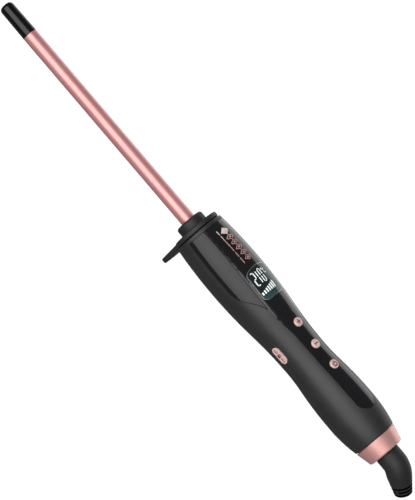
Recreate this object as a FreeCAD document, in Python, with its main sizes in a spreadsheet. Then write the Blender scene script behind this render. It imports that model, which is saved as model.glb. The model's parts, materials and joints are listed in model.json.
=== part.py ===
"""Curling wand: a slim heated barrel on a long handle with display, buttons, rest and swivel cord sleeve.

Every piece is built in the wand's own frame, in millimetres: +X along the barrel towards its tip, +Z out of
the control panel, +Y towards the lock button, and the origin on the axis at the joint of collar and handle.
At the end all pieces are set down together as the wand lies on a table, on its rest and its cord sleeve.
"""

import FreeCAD
import Part
import Sketcher
import math
import os
import re

from FreeCAD import Placement, Rotation, Vector

DRIVING = {
    # barrel and cool tip
    "barrel_radius": 4.5,
    "barrel_wall": 0.8,
    "tail_step": 0.2,
    "barrel_tail": -12,
    "barrel_front": 146.5,
    "tip_front": 168.5,
    "tip_radius": 4.25,
    "tip_round": 2.4,
    "tip_plug": 9,
    "heater_middle": 76,
    "heater_length": 120.5,
    "spreader_back": 12,
    "spreader_length": 124.5,
    # collar and rest
    "collar_front": 8.4,
    "nose_radius": 8.7,
    "nose_round": 1.6,
    "flange_radius": 14.6,
    "flange_thickness": 2.8,
    "flange_round": 0.9,
    "root_round": 0.9,
    "spigot_radius": 10.2,
    "spigot_length": 4,
    "rest_reach": 33,
    "rest_width": 15,
    "rest_back": -0.6,
    "rest_thickness": 3.4,
    "rest_corner": 4.5,
    "rest_round": 0.8,
    "lying_angle": 5.59,
    "clamp_back": -13.5,
    "collar_screw_offset": 7.2,
    # handle outline: two bellies, a waist and a tail, as circles that touch
    "handle_front": -0.6,
    "handle_end": -152.4,
    "belly_at": -32,
    "belly_radius": 17,
    "belly_curve": 301,
    "waist_at": -93,
    "waist_radius": 13.65,
    "waist_curve": 110,
    "heel_at": -130,
    "heel_radius": 15.8,
    "tail_at": -136,
    "tail_curve": 77,
    "edge_round": 0.7,
    "wall": 2.2,
    "facing": 1.2,
    "seam": 0.3,
    "hairline": 0.12,
    "ring_end": -2.8,
    # side facets
    "swoosh_low": 3.9,
    "swoosh_start": -37,
    "swoosh_turn": 37,
    "swoosh_lower_curve": 18.3,
    "swoosh_upper_curve": 26,
    "swoosh_end": -62,
    "trim_low": 6.4,
    "accent_depth": 0.55,
    # panel and display
    "panel_end": -137.5,
    "panel_half_front": 9.05,
    "panel_half_belly": 9.8,
    "panel_half_display": 9.7,
    "panel_half_swoosh": 8.95,
    "panel_half_plus": 7.25,
    "panel_half_waist": 6.25,
    "panel_half_power": 6.6,
    "panel_half_heel": 7,
    "display_front": -35,
    "display_back": -55.4,
    "display_half_width": 8.5,
    "display_corner": 3.2,
    "display_arch": 22,
    "bezel_width": 0.45,
    # buttons
    "plus_at": -75,
    "minus_at": -90.5,
    "power_at": -105.8,
    "button_radius": 2.75,
    "button_proud": 0.8,
    "button_round": 0.6,
    "button_gap": 0.2,
    "flange_overhang": 0.8,
    "button_flange": 0.6,
    "plunger_radius": 0.9,
    "stem_radius": 1.2,
    "lock_at": -82.8,
    "lock_length": 11,
    "lock_width": 4.8,
    "lock_proud": 0.5,
    # electronics
    "board_front": -32,
    "board_back": -124,
    "board_bottom": 6.6,
    "board_thickness": 1.2,
    "board_width": 14.6,
    "switch_size": 5,
    "switch_height": 1.6,
    "plunger_length": 1.35,
    "display_at": -45.6,
    "display_length": 17,
    "display_width": 15,
    # rear end
    "band_front": -153,
    "band_back": -162.3,
    "band_front_radius": 13.35,
    "band_back_radius": 11.1,
    "band_round": 1.1,
    "band_lip": 0.45,
    "bush_front": -143,
    "bush_radius": 8,
    "rotor_radius": 5,
    "rotor_front": -128.5,
    "rotor_step": -138,
    "rotor_step_height": 1.2,
    "circlip_back": -142.6,
    "circlip_thickness": 1.2,
    "slip_ring_width": 2,
    "running_gap": 0.06,
    "sleeve_front": -162.9,
    "sleeve_radius": 7.4,
    "sleeve_straight": 5.5,
    "sleeve_curve": 10,
    "sleeve_turn": 37,
    "sleeve_tail": 15.3,
    "sleeve_taper": 9.9,
    "sleeve_taper_curve": 25,
    "sleeve_round": 1.3,
    "cord_radius": 3.1,
    "flex_slot": 1.2,
    "flex_slot_pitch": 2.3,
    "flex_slot_floor": 3.9,
    # fasteners
    "screw_radius": 1.2,
    "screw_head_radius": 2.1,
    "screw_head_height": 1.6,
    "boss_radius": 3,
}

ALONG = Vector(1, 0, 0)
ACROSS = Vector(0, 1, 0)
UP = Vector(0, 0, 1)
FACINGS_BACK = -140

doc = FreeCAD.newDocument("curling_wand")
sheet = doc.addObject("Spreadsheet::Sheet", "sizes")
for row, (alias, number) in enumerate(DRIVING.items(), start=1):
    sheet.set(f"A{row}", alias)
    sheet.set(f"B{row}", str(number))
    sheet.setAlias(f"B{row}", alias)
doc.recompute()

nodes = []


# ---------------------------------------------------------------- sheet and document helpers


def formula(text):
    """The text with each alias read from the sheet."""
    return re.sub(r"[a-z_]+", lambda word: "sizes." + word.group(), text)


def value(text):
    """The number that a formula of aliases gives."""
    return float(sheet.evalExpression(formula(text)))


def keep(solid, name):
    """Names a finished piece and lists it for export."""
    solid.Label = name
    nodes.append(solid)
    return solid


def shaped(name, shape):
    """A piece whose shape follows the handle's outline, computed with Part's functions."""
    piece = doc.addObject("Part::Feature", name)
    piece.Shape = shape
    return piece


def cylinder(name, radius, length, base, direction=ALONG):
    """A round bar from base along direction, its radius and length bound to the sheet."""
    bar = doc.addObject("Part::Cylinder", name)
    bar.setExpression("Radius", formula(radius))
    bar.setExpression("Height", formula(length))
    bar.Placement = Placement(base, Rotation(UP, direction))
    return bar


def block(name, length, width, height, centre):
    """A box bound to the sheet, given the centre of its bottom face."""
    box = doc.addObject("Part::Box", name)
    box.setExpression("Length", formula(length))
    box.setExpression("Width", formula(width))
    box.setExpression("Height", formula(height))
    box.Placement.Base = centre - Vector(value(length) / 2, value(width) / 2, 0)
    return box


def cut(name, base, tool):
    """Base with tool taken away."""
    result = doc.addObject("Part::Cut", name)
    result.Base = base
    result.Tool = tool
    return result


def fuse(name, pieces):
    """The pieces joined in one."""
    result = doc.addObject("Part::MultiFuse", name)
    result.Shapes = pieces
    return result


def group(name, solids):
    """Identical pieces that share one node, still separate solids."""
    result = doc.addObject("Part::Compound", name)
    result.Links = solids
    return result


def origin_plane(body, role):
    """One of a body's own origin planes."""
    return next(part for part in body.Origin.OriginFeatures if part.Role == role)


def section(body, name, role, outline):
    """A closed sketch of straight lines on an origin plane, each corner bound to the sheet."""
    sketch = body.newObject("Sketcher::SketchObject", name)
    sketch.AttachmentSupport = [(origin_plane(body, role), "")]
    sketch.MapMode = "FlatFace"
    corners = [Vector(value(across), value(up), 0) for across, up in outline]
    count = len(corners)
    for i in range(count):
        sketch.addGeometry(Part.LineSegment(corners[i], corners[(i + 1) % count]))
    for i in range(count):
        sketch.addConstraint(Sketcher.Constraint("Coincident", i, 2, (i + 1) % count, 1))
    for i, texts in enumerate(outline):
        kinds = ("DistanceX", "DistanceY")
        for kind, text, place, axis in zip(kinds, texts, corners[i], (-2, -1)):
            if abs(place) < 1e-6:
                sketch.addConstraint(Sketcher.Constraint("PointOnObject", i, 1, axis))
                continue
            index = sketch.addConstraint(Sketcher.Constraint(kind, -1, 1, i, 1, place))
            sketch.setExpression(f"Constraints[{index}]", formula(text))
    return sketch


def turned(name, outline):
    """A body turned about the wand's axis from a half section of (x, radius) formulas."""
    body = doc.addObject("PartDesign::Body", name)
    sketch = section(body, name + "_section", "XZ_Plane", outline)
    turning = body.newObject("PartDesign::Revolution", name + "_turned")
    turning.Profile = sketch
    turning.ReferenceAxis = (sketch, ["H_Axis"])
    turning.Angle = 360
    doc.recompute()
    return body


def rounded(body, name, radius, chosen):
    """Rounds the edges of a body's tip that chosen picks."""
    doc.recompute()
    tip = body.Tip
    picked = [f"Edge{i}" for i, edge in enumerate(tip.Shape.Edges, start=1) if chosen(edge)]
    rounding = body.newObject("PartDesign::Fillet", name)
    rounding.Base = (tip, picked)
    rounding.setExpression("Radius", formula(radius))
    doc.recompute()
    return rounding


def rim(x, radius):
    """Picks the circular edge of a turned body at x with that radius."""
    def chosen(edge):
        round_edge = isinstance(edge.Curve, Part.Circle)
        return round_edge and abs(edge.Curve.Center.x - x) < 0.01 and abs(edge.Curve.Radius - radius) < 0.01
    return chosen


# ---------------------------------------------------------------- the handle's outline


def handle_arcs():
    """The outline's touching circles: (start x, end x, centre x, centre height, signed radius)."""
    belly_at, belly, belly_curve = value("belly_at"), value("belly_radius"), value("belly_curve")
    waist_at, waist, waist_curve = value("waist_at"), value("waist_radius"), value("waist_curve")
    heel_at, heel = value("heel_at"), value("heel_radius")
    front_sum = ((belly_at - waist_at) ** 2 + (belly - waist) ** 2) / (2 * (belly - waist))
    back_sum = ((waist_at - heel_at) ** 2 + (heel - waist) ** 2) / (2 * (heel - waist))
    front_waist_curve = front_sum - belly_curve
    heel_curve = back_sum - waist_curve
    front_touch = belly_at + (waist_at - belly_at) * belly_curve / front_sum
    back_touch = waist_at + (heel_at - waist_at) * waist_curve / back_sum
    tail_at, tail_curve = value("tail_at"), value("tail_curve")
    lean = (tail_at - heel_at) / heel_curve
    drop = math.sqrt(1 - lean ** 2)
    tail_centre = heel_at + (heel_curve - tail_curve) * lean
    tail_height = heel - heel_curve + (heel_curve - tail_curve) * drop
    return [
        (5, front_touch, belly_at, belly - belly_curve, belly_curve),
        (front_touch, waist_at, waist_at, waist + front_waist_curve, -front_waist_curve),
        (waist_at, back_touch, waist_at, waist + waist_curve, -waist_curve),
        (back_touch, tail_at, heel_at, heel - heel_curve, heel_curve),
        (tail_at, -200, tail_centre, tail_height, tail_curve),
    ]


ARCS = handle_arcs()


def arc_height(arc, x):
    """The height of one of the outline's circles at x."""
    _, _, centre, height, radius = arc
    return height + math.copysign(math.sqrt(radius ** 2 - (x - centre) ** 2), radius)


def handle_radius(x):
    """The handle's outer radius at x."""
    arc = next(arc for arc in ARCS if x >= arc[1])
    return arc_height(arc, x)


def handle_solid(inset, front, back):
    """The handle's outline, inset by so much, turned about the axis between two places."""
    edges = []
    for arc in ARCS:
        start, end = min(front, arc[0]), max(back, arc[1])
        if start - end < 1e-6:
            continue
        places = (start, (start + end) / 2, end)
        edges.append(Part.Arc(*(Vector(x, 0, arc_height(arc, x) - inset) for x in places)).toShape())
    first = Vector(front, 0, handle_radius(front) - inset)
    last = Vector(back, 0, handle_radius(back) - inset)
    edges.append(Part.makeLine(last, Vector(back, 0, 0)))
    edges.append(Part.makeLine(Vector(back, 0, 0), Vector(front, 0, 0)))
    edges.append(Part.makeLine(Vector(front, 0, 0), first))
    return Part.Face(Part.Wire(edges)).revolve(Vector(), ALONG, 360)


def skin(top, bottom, front, back):
    """The layer of the handle between two depths."""
    return handle_solid(top, front, back).cut(handle_solid(bottom, front + 1, back - 1))


# ---------------------------------------------------------------- outlines seen from above and from the side


def prism(edges, direction):
    """A closed outline pushed along a direction."""
    return Part.Face(Part.Wire(edges)).extrude(direction)


def panel_prism(spare):
    """The control panel's outline seen from above, let out by spare all round."""
    front, back = value("ring_end") + spare, value("panel_end") - spare
    stations = [
        (front, "panel_half_front"), (-30, "panel_half_belly"), (-57, "panel_half_display"),
        (-66, "panel_half_swoosh"), (-75, "panel_half_plus"), (-88, "panel_half_waist"),
        (-110, "panel_half_power"), (-130, "panel_half_heel"),
    ]
    corner = Vector(-133.2 - spare, 6.45 + spare, 0)
    shoulder = Vector(back + 2.4, 4.9 + spare, 0)
    edges = []
    for sign in (1, -1):
        side = [Vector(x, sign * (value(half) + spare), 0) for x, half in stations]
        curve = Part.BSplineCurve()
        curve.interpolate(side)
        along, end = Vector(corner.x, sign * corner.y, 0), Vector(shoulder.x, sign * shoulder.y, 0)
        edges += [curve.toShape(), Part.Arc(side[-1], along, end).toShape()]
    near = value("panel_half_front") + spare
    edges.append(Part.makeLine(Vector(front, near, 0), Vector(front, -near, 0)))
    edges.append(Part.Arc(shoulder, Vector(back, 0, 0), Vector(shoulder.x, -shoulder.y, 0)).toShape())
    return prism(Part.sortEdges(edges)[0], UP * 25)


def side_prism(low, spare):
    """The side facets' outline seen from the side, above low, taken in by spare along the swoosh."""
    front = value("ring_end") - spare
    start = value("swoosh_start")
    turn = math.radians(value("swoosh_turn"))
    lower = value("swoosh_lower_curve")
    upper = value("swoosh_upper_curve")
    base = value("swoosh_low")
    lower_centre = Vector(start, 0, base + lower)
    upper_centre = lower_centre + Vector(-math.sin(turn), 0, -math.cos(turn)) * (lower + upper)
    end_turn = math.asin((upper_centre.x - value("swoosh_end")) / upper)

    def on_lower(angle):
        return lower_centre + Vector(-math.sin(angle), 0, -math.cos(angle)) * (lower - spare)

    def on_upper(angle):
        return upper_centre + Vector(math.sin(angle), 0, math.cos(angle)) * (upper + spare)

    foot = on_lower(0)
    meeting = on_lower(turn)
    end = on_upper(-end_turn)
    far_front, far_back = Vector(front, 0, 25), Vector(end.x, 0, 25)
    edges = [
        Part.makeLine(Vector(front, 0, foot.z), foot),
        Part.Arc(foot, on_lower(turn / 2), meeting).toShape(),
        Part.Arc(meeting, on_upper((turn - end_turn) / 2), end).toShape(),
        Part.makeLine(end, far_back),
        Part.makeLine(far_back, far_front),
        Part.makeLine(far_front, Vector(front, 0, foot.z)),
    ]
    region = prism(edges, ACROSS * 40)
    region.translate(Vector(0, -20, 0))
    if low > foot.z:
        below = Part.makeBox(80, 40, low, Vector(-75, -20, 0))
        region = region.cut(below)
    return region


def display_prism(inset):
    """The display window's outline seen from above: arched in front, with round corners."""
    front = value("display_front") - inset
    back = value("display_back") + inset
    half = value("display_half_width") - inset
    arch = value("display_arch")
    shoulder = front - (arch - math.sqrt(arch ** 2 - half ** 2))
    corners = [
        Vector(shoulder, half, 0), Vector(back, half, 0), Vector(back, -half, 0), Vector(shoulder, -half, 0)]
    edges = [Part.makeLine(corners[i], corners[i + 1]) for i in range(3)]
    edges.append(Part.Arc(corners[3], Vector(front, 0, 0), corners[0]).toShape())
    window = prism(edges, UP * 25)
    upright = [edge for edge in window.Edges if abs(edge.BoundBox.ZLength - 25) < 0.01]
    return window.makeFillet(value("display_corner") - inset, upright)


def stadium_prism(x, length, width, near, far):
    """A slot shape centred on x at the lock button's side, from near to far along Y."""
    reach = (length - width) / 2
    half = width / 2
    left, right = x + reach, x - reach

    def half_round(end, out):
        top, tip, bottom = Vector(end, near, -out), Vector(end + out, near, 0), Vector(end, near, out)
        return Part.Arc(top, tip, bottom).toShape()

    edges = [
        Part.makeLine(Vector(left, near, half), Vector(right, near, half)),
        half_round(right, -half),
        Part.makeLine(Vector(right, near, -half), Vector(left, near, -half)),
        half_round(left, half),
    ]
    return prism(edges, ACROSS * (far - near))


# ---------------------------------------------------------------- barrel


def make_barrel():
    """The heated tube with its cool tip, and the heater inside. A low shoulder seats the tube on the collar."""
    inner, tail = "barrel_radius - barrel_wall", "barrel_radius - tail_step"
    plug = "barrel_radius - barrel_wall - 0.1"
    tube = turned("barrel_rod", [
        ("barrel_tail", inner), ("barrel_front", inner), ("barrel_front", "barrel_radius"),
        ("collar_front", "barrel_radius"), ("collar_front", tail), ("barrel_tail", tail)])
    keep(tube, "barrel_tube")
    tip = turned("tip_blank", [
        ("barrel_front - tip_plug", "0"), ("barrel_front - tip_plug", plug), ("barrel_front + 0.1", plug),
        ("barrel_front + 0.1", "barrel_radius"), ("tip_front", "tip_radius"), ("tip_front", "0")])
    rounded(tip, "cool_tip_round", "tip_round", rim(value("tip_front"), value("tip_radius")))
    keep(tip, "cool_tip")
    middle = value("heater_middle")
    heater_foot, slot_foot = Vector(middle, 0, -0.75), Vector(middle, 0, -0.9)
    heater = block("heater_bar", "heater_length", "barrel_radius", "barrel_radius / 3", heater_foot)
    keep(heater, "ceramic_heater")
    spreader_back = Vector(value("spreader_back"), 0, 0)
    core = cylinder("core_bar", "barrel_radius - barrel_wall - 0.15", "spreader_length", spreader_back)
    slot = block("core_slot", "barrel_front", "2 * barrel_radius", "barrel_radius / 2.5", slot_foot)
    keep(cut("core_halves", core, slot), "heat_spreaders")
    keep(cylinder("thermistor_bead", "barrel_wall", "3 * barrel_wall", Vector(5, 0, 2.2)), "thermistor")


# ---------------------------------------------------------------- collar


def make_collar():
    """The collar with its spigot and its rest, the clamp behind it and the two screws between them."""
    bore = "barrel_radius - tail_step + 0.1"
    collar = turned("collar_ring", [
        ("0 - spigot_length", bore), ("collar_front", bore), ("collar_front", "nose_radius"),
        ("flange_thickness", "nose_radius"), ("flange_thickness", "flange_radius"), ("0", "flange_radius"),
        ("0", "spigot_radius"), ("0 - spigot_length", "spigot_radius")])
    rounded(collar, "flange_rim", "flange_round", rim(value("flange_thickness"), value("flange_radius")))
    rounded(collar, "flange_back", "seam", rim(0, value("flange_radius")))
    add_tongue(collar)
    rounded(collar, "nose_edge", "nose_round", rim(value("collar_front"), value("nose_radius")))
    rounded(collar, "nose_root", "root_round", rim(value("flange_thickness"), value("nose_radius")))
    offset, back = value("collar_screw_offset"), value("clamp_back")
    hole = "screw_radius + 0.1"
    holes = []
    tunnels = []
    screws = []
    for side, y in (("left", offset), ("right", -offset)):
        holes.append(cylinder("collar_hole_" + side, hole, "2 * spigot_length", Vector(-6, y, 0)))
        tunnels.append(cylinder("clamp_hole_" + side, hole, "5 * spigot_length", Vector(-18, y, 0)))
        screws.append(screw("collar_screw_" + side, Vector(back - 0.05, y, 0), ALONG, "0 - clamp_back"))
    keep(cut("collar_drilled", collar, group("collar_holes", holes)), "collar_rest")
    clamp_bore, clamp_front = "barrel_radius - tail_step + 0.05", "0 - spigot_length - 0.2"
    clamp = turned("clamp_ring", [
        ("clamp_back", clamp_bore), (clamp_front, clamp_bore), (clamp_front, "spigot_radius - 0.4"),
        ("clamp_back", "spigot_radius - 0.4")])
    keep(cut("clamp_drilled", clamp, group("clamp_holes", tunnels)), "barrel_clamp")
    keep(group("collar_screw_pair", screws), "collar_screws")


def add_tongue(collar):
    """The rest: a tongue down from the collar, its foot level with the table when the wand lies on it."""
    slope = math.tan(math.radians(value("lying_angle")))
    back, front = value("rest_back"), value("rest_back + rest_thickness")
    reach, flange = value("rest_reach"), value("flange_radius")
    middle, toe = (front + back) / 2, front - 0.4
    outline = [
        Vector(0.05, -flange + 4, 0), Vector(0.05, -flange - 1.6, 0), Vector(back, -flange - 3, 0),
        Vector(back, -reach + (middle - back) * slope, 0), Vector(toe, -reach + (middle - toe) * slope, 0),
        Vector(front, -flange + 4, 0)]
    count = len(outline)
    sketch = collar.newObject("Sketcher::SketchObject", "rest_section")
    sketch.AttachmentSupport = [(origin_plane(collar, "XZ_Plane"), "")]
    sketch.MapMode = "FlatFace"
    for i, corner in enumerate(outline):
        sketch.addGeometry(Part.LineSegment(corner, outline[(i + 1) % count]))
    for i, corner in enumerate(outline):
        sketch.addConstraint(Sketcher.Constraint("Coincident", i, 2, (i + 1) % count, 1))
        sketch.addConstraint(Sketcher.Constraint("DistanceX", -1, 1, i, 1, corner.x))
        sketch.addConstraint(Sketcher.Constraint("DistanceY", -1, 1, i, 1, corner.y))
    pad = collar.newObject("PartDesign::Pad", "rest_tongue")
    pad.Profile = sketch
    pad.Midplane = True
    pad.setExpression("Length", formula("rest_width"))
    half = value("rest_width") / 2

    def foot_corner(edge):
        box = edge.BoundBox
        low = box.ZMax < -reach + 1 and box.XLength > 2
        return low and abs(abs(box.Center.y) - half) < 0.01

    def tongue_edge(edge):
        box = edge.BoundBox
        return box.ZMax < -flange - 3.5 and box.XLength < 1

    rounded(collar, "rest_corners", "rest_corner", foot_corner)
    rounded(collar, "rest_edges", "rest_round", tongue_edge)


def screw(name, seat, direction, length):
    """A pan-head screw with a cross slot, seated under its head, its shank along direction."""
    shank = cylinder(name + "_shank", "screw_radius", length, seat, direction)
    head = cylinder(name + "_head", "screw_head_radius", "screw_head_height", seat, direction * -1)
    whole = fuse(name + "_blank", [shank, head])
    slots = []
    for turn in (0, 90):
        slot = doc.addObject("Part::Box", f"{name}_slot_{turn}")
        slot.setExpression("Length", formula("1.5 * screw_head_radius"))
        slot.setExpression("Width", formula("screw_head_radius / 4"))
        slot.setExpression("Height", formula("screw_head_height"))
        centre = Vector(-value("screw_head_radius") * 0.75, -value("screw_head_radius") / 8, 0)
        spin = Rotation(UP, direction * -1).multiply(Rotation(UP, turn))
        base = seat - direction * value("screw_head_height") * 0.45
        slot.Placement = Placement(base, spin).multiply(Placement(centre, Rotation()))
        slots.append(slot)
    return cut(name, whole, group(name + "_slots", slots))


# ---------------------------------------------------------------- housing


def screw_places():
    """Where the four housing screws stand, as (x, y)."""
    return [(-22, 10), (-22, -10), (-136, 9.6), (-136, -9.6)]


def make_housing():
    """The two shells with their screws, the upper one recessed for the facings and open for the buttons."""
    front, back = value("handle_front"), value("handle_end")
    outer = handle_solid(0, front, back)
    ends = [rim(front, handle_radius(front)), rim(back, handle_radius(back))]
    sharp = [edge for edge in outer.Edges if any(end(edge) for end in ends)]
    outer = outer.makeFillet(value("edge_round"), sharp)
    cavity = handle_solid(value("wall"), value("ring_end"), back + value("wall"))
    front_bore = Part.makeCylinder(value("spigot_radius") + 0.15, 10, Vector(-6, 0, 0), ALONG)
    rear_bore = Part.makeCylinder(value("bush_radius") + 0.1, 10, Vector(back - 1, 0, 0), ALONG)
    shell = outer.cut([cavity, front_bore, rear_bore])
    bosses = []
    wells = []
    for x, y in screw_places():
        pillar = Part.makeCylinder(value("boss_radius"), 34, Vector(x, y, -17), UP)
        bosses.append(pillar.common(outer))
        wells.append(Part.makeCylinder(value("screw_radius") + 0.1, 15.5, Vector(x, y, -9), UP))
        wells.append(Part.makeCylinder(value("screw_head_radius") + 0.25, 12, Vector(x, y, -21), UP))
    shell = shell.fuse(bosses).cut(wells)
    hole_length, hole_width = value("lock_length + 2 * button_gap"), value("lock_width + 2 * button_gap")
    shell = shell.cut(stadium_prism(value("lock_at"), hole_length, hole_width, 8, 20))
    parting = value("hairline") / 2
    upper_half = Part.makeBox(160, 40, 20, Vector(-156, -20, parting))
    lower_half = Part.makeBox(160, 40, 20, Vector(-156, -20, -20 - parting))
    keep(shaped("lower_half", shell.common(lower_half)), "lower_shell")
    layer = skin(-1, value("facing + 0.1"), value("ring_end"), FACINGS_BACK)
    tools = [layer.common(panel_prism(0)), layer.common(side_prism(0, 0)), display_prism(-0.2)]
    upper = shell.common(upper_half)
    for tool in tools + button_wells():
        upper = upper.cut(tool)
    keep(shaped("upper_half", upper), "upper_shell")
    seats = [Vector(x, y, -9.05) for x, y in screw_places()]
    screws = [screw(f"housing_screw_{i}", seat, UP, "15") for i, seat in enumerate(seats)]
    keep(group("housing_screw_set", screws), "housing_screws")


def button_wells():
    """The round holes that the three panel buttons move in."""
    radius = value("button_radius + button_gap")
    places = [value(name) for name in ("plus_at", "minus_at", "power_at")]
    return [Part.makeCylinder(radius, 20, Vector(x, 0, 8), UP) for x in places]


def make_facings():
    """The gloss control panel, the display window, the two side facets and the strips under them."""
    seam, hairline, thickness = value("seam"), value("hairline"), value("facing")
    front = value("ring_end") - seam
    layer = skin(0, thickness, front, FACINGS_BACK)
    panel = layer.common(panel_prism(-hairline))
    keep(shaped("panel_skin", panel.cut([display_prism(0)] + button_wells())), "control_panel")
    facet = layer.common(side_prism(value("trim_low"), seam)).cut(panel_prism(hairline))
    above_strip = Part.makeBox(100, 60, 30, Vector(-90, -30, value("trim_low") - 0.15))
    sunk = skin(value("accent_depth"), thickness, front, FACINGS_BACK)
    strip = sunk.common(side_prism(0, hairline)).cut(above_strip)
    for label, near in (("left", 0), ("right", -30)):
        half_space = Part.makeBox(170, 30, 60, Vector(-160, near, -30))
        keep(shaped("facet_" + label, facet.common(half_space)), "side_facet_" + label)
        keep(shaped("strip_" + label, strip.common(half_space)), "accent_strip_" + label)
    width = value("bezel_width")
    border = skin(-0.06, thickness, -30, -60).common(display_prism(0.05).cut(display_prism(width)))
    keep(shaped("display_border", border), "display_bezel")
    lens = skin(0.04, thickness, -30, -60).common(display_prism(width + 0.05))
    keep(shaped("display_window", lens), "display_lens")


# ---------------------------------------------------------------- buttons and switches


def make_buttons():
    """Three round buttons on the panel, each with the plunger of its switch, and the three switch bodies."""
    board_top = value("board_bottom + board_thickness")
    stem_bottom = board_top + value("switch_height") + 0.6
    lip_radius, lip_height = value("button_radius + flange_overhang"), value("button_flange")
    bodies = []
    for label in ("plus", "minus", "power"):
        x = value(label + "_at")
        top = handle_radius(x) + value("button_proud")
        under = handle_radius(x) - value("wall")
        flange_top = math.sqrt(under ** 2 - lip_radius ** 2) - value("button_gap")
        cap = Part.makeCylinder(value("button_radius"), top - flange_top, Vector(x, 0, flange_top), UP)
        crown = [edge for edge in cap.Edges if edge.BoundBox.ZMin > top - 0.01]
        cap = cap.makeFillet(value("button_round"), crown)
        lip = Part.makeCylinder(lip_radius, lip_height, Vector(x, 0, flange_top - lip_height), UP)
        stem = Part.makeCylinder(value("stem_radius"), flange_top - stem_bottom, Vector(x, 0, stem_bottom), UP)
        keep(shaped(label + "_cap", cap.fuse([lip, stem]).removeSplitter()), label + "_button")
        pin_foot = Vector(x, 0, stem_bottom - value("plunger_length"))
        keep(cylinder(label + "_pin", "plunger_radius", "plunger_length", pin_foot, UP), label + "_plunger")
        foot = Vector(x, 0, board_top)
        body = block(label + "_switch_block", "switch_size", "switch_size", "switch_height", foot)
        well = cylinder(label + "_switch_well", "plunger_radius + 0.2", "switch_height", foot + UP * 0.2, UP)
        bodies.append(cut(label + "_switch_body", body, well))
    keep(group("switch_bodies", bodies), "panel_switches")


def make_lock():
    """The oval lock button on the side, its plunger, its switch and the little board that holds it."""
    x = value("lock_at")
    length, width = value("lock_length"), value("lock_width")
    crown = handle_solid(-value("lock_proud"), -60, -110)
    cap = stadium_prism(x, length, width, 10.6, 20).common(crown)
    spare = value("flange_overhang")
    lip = stadium_prism(x, length + 2 * spare, width + 2 * spare, 10.1, 10.7)
    stem = Part.makeCylinder(value("stem_radius"), 1.2, Vector(x, 9, 0), ACROSS)
    keep(shaped("lock_cap", cap.fuse([lip, stem]).removeSplitter()), "lock_button")
    keep(cylinder("lock_pin", "plunger_radius", "1.6", Vector(x, 7.4, 0), ACROSS), "lock_plunger")
    body = block("lock_switch_block", "switch_size", "2.2", "switch_size", Vector(x, 7.1, -2.5))
    well = cylinder("lock_switch_well", "plunger_radius + 0.2", "2", Vector(x, 6.6, 0), ACROSS)
    keep(cut("lock_switch_body", body, well), "lock_switch")
    plate = block("lock_plate", "3 * switch_size", "1", "2 * switch_size", Vector(x, 5.5, -5))
    keep(plate, "lock_switch_board")


# ---------------------------------------------------------------- electronics


def make_electronics():
    """The main board with what is soldered to it, and the display behind its window."""
    bottom = value("board_bottom")
    board_foot = Vector(value("board_front + board_back") / 2, 0, bottom)
    board = block("board_blank", "board_front - board_back", "board_width", "board_thickness", board_foot)
    holes = []
    screws = []
    for corner, x, y in ((0, -34.5, 5), (1, -34.5, -5), (2, -121.5, 5), (3, -121.5, -5)):
        under, seat = Vector(x, y, bottom - 0.5), Vector(x, y, bottom - 0.05)
        holes.append(cylinder(f"board_hole_{corner}", "screw_radius + 0.1", "2 * board_thickness", under, UP))
        screws.append(screw(f"board_screw_{corner}", seat, UP, "3.2"))
    keep(cut("board_drilled", board, group("board_holes", holes)), "main_board")
    keep(group("board_screw_set", screws), "board_screws")
    display = value("display_at")
    backlight_foot = Vector(display, 0, value("board_bottom + board_thickness") + 0.1)
    keep(block("lcd_cell", "display_length", "display_width", "2", Vector(display, 0, 10.4)), "lcd_module")
    keep(block("lcd_frame", "display_length", "display_width", "2.4", backlight_foot), "display_backlight")
    under_board = (
        ("microcontroller", 7, 7, 1.2, -70, 0),
        ("power_triac", 10.2, 4.4, 9.8, -42, -3.5),
        ("film_capacitor", 13, 6, 11, -58, 3.5),
    )
    for name, length, width, height, x, y in under_board:
        foot = Vector(x, y, bottom - 0.05 - height)
        keep(block(name + "_block", str(length), str(width), str(height), foot), name)
    can_radius, buzzer_height = 3.8, 4.2
    can = cylinder("electrolytic_can", str(can_radius), "12", Vector(-106, 0, bottom - can_radius - 0.1))
    keep(can, "smoothing_capacitor")
    buzzer_foot = Vector(-115.5, 0, bottom - buzzer_height - 0.05)
    keep(cylinder("buzzer_can", "4.5", str(buzzer_height), buzzer_foot, UP), "buzzer")


def run(points, radius):
    """A lead of straight runs with round joints."""
    pieces = []
    for start, end in zip(points, points[1:]):
        along = end - start
        pieces.append(Part.makeCylinder(radius, along.Length, start, along))
    joints = [Part.makeSphere(radius, point) for point in points[1:-1]]
    return pieces[0].fuse(pieces[1:] + joints)


def make_leads():
    """The leads from the heater and from the swivel to the board, with the thermal fuse on one of them."""
    fold, pad = -14, Vector(-30.8, 2.2, 5.9)
    heater = []
    sensor = []
    mains = []
    for side, contact in ((1, -129.9), (-1, -133.9)):
        near, apart = side * 1.1, side * 0.4
        heater_pad, sensor_pad = Vector(pad.x, side * pad.y, pad.z), Vector(-31.5, 4.6 + apart, 6.1)
        heater.append(run([Vector(15.6, near, 0), Vector(fold, near, 0), heater_pad], 0.55))
        sensor.append(run([Vector(4.8, apart, 2.2), Vector(fold, apart, 2.2), sensor_pad], 0.3))
        bend, board = Vector(-127, side * 5.5, 4.5), Vector(-125, side * 5.5, 7.2)
        mains.append(run([Vector(contact, side * 5.8, 2.1), bend, board], 0.5))
    keep(shaped("heater_pair", Part.makeCompound(heater)), "heater_leads")
    keep(shaped("sensor_pair", Part.makeCompound(sensor)), "thermistor_leads")
    start = Vector(fold, -1.1, 0)
    along = (Vector(pad.x, -pad.y, pad.z) - start).normalize()
    tube = Part.makeCylinder(1.5, 9, start + along * 4, along)
    keep(shaped("fuse_tube", tube.cut(Part.makeCylinder(0.6, 12, start + along * 3, along))), "thermal_fuse")
    keep(shaped("mains_pair", Part.makeCompound(mains)), "mains_leads")


# ---------------------------------------------------------------- swivel and sleeve


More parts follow.
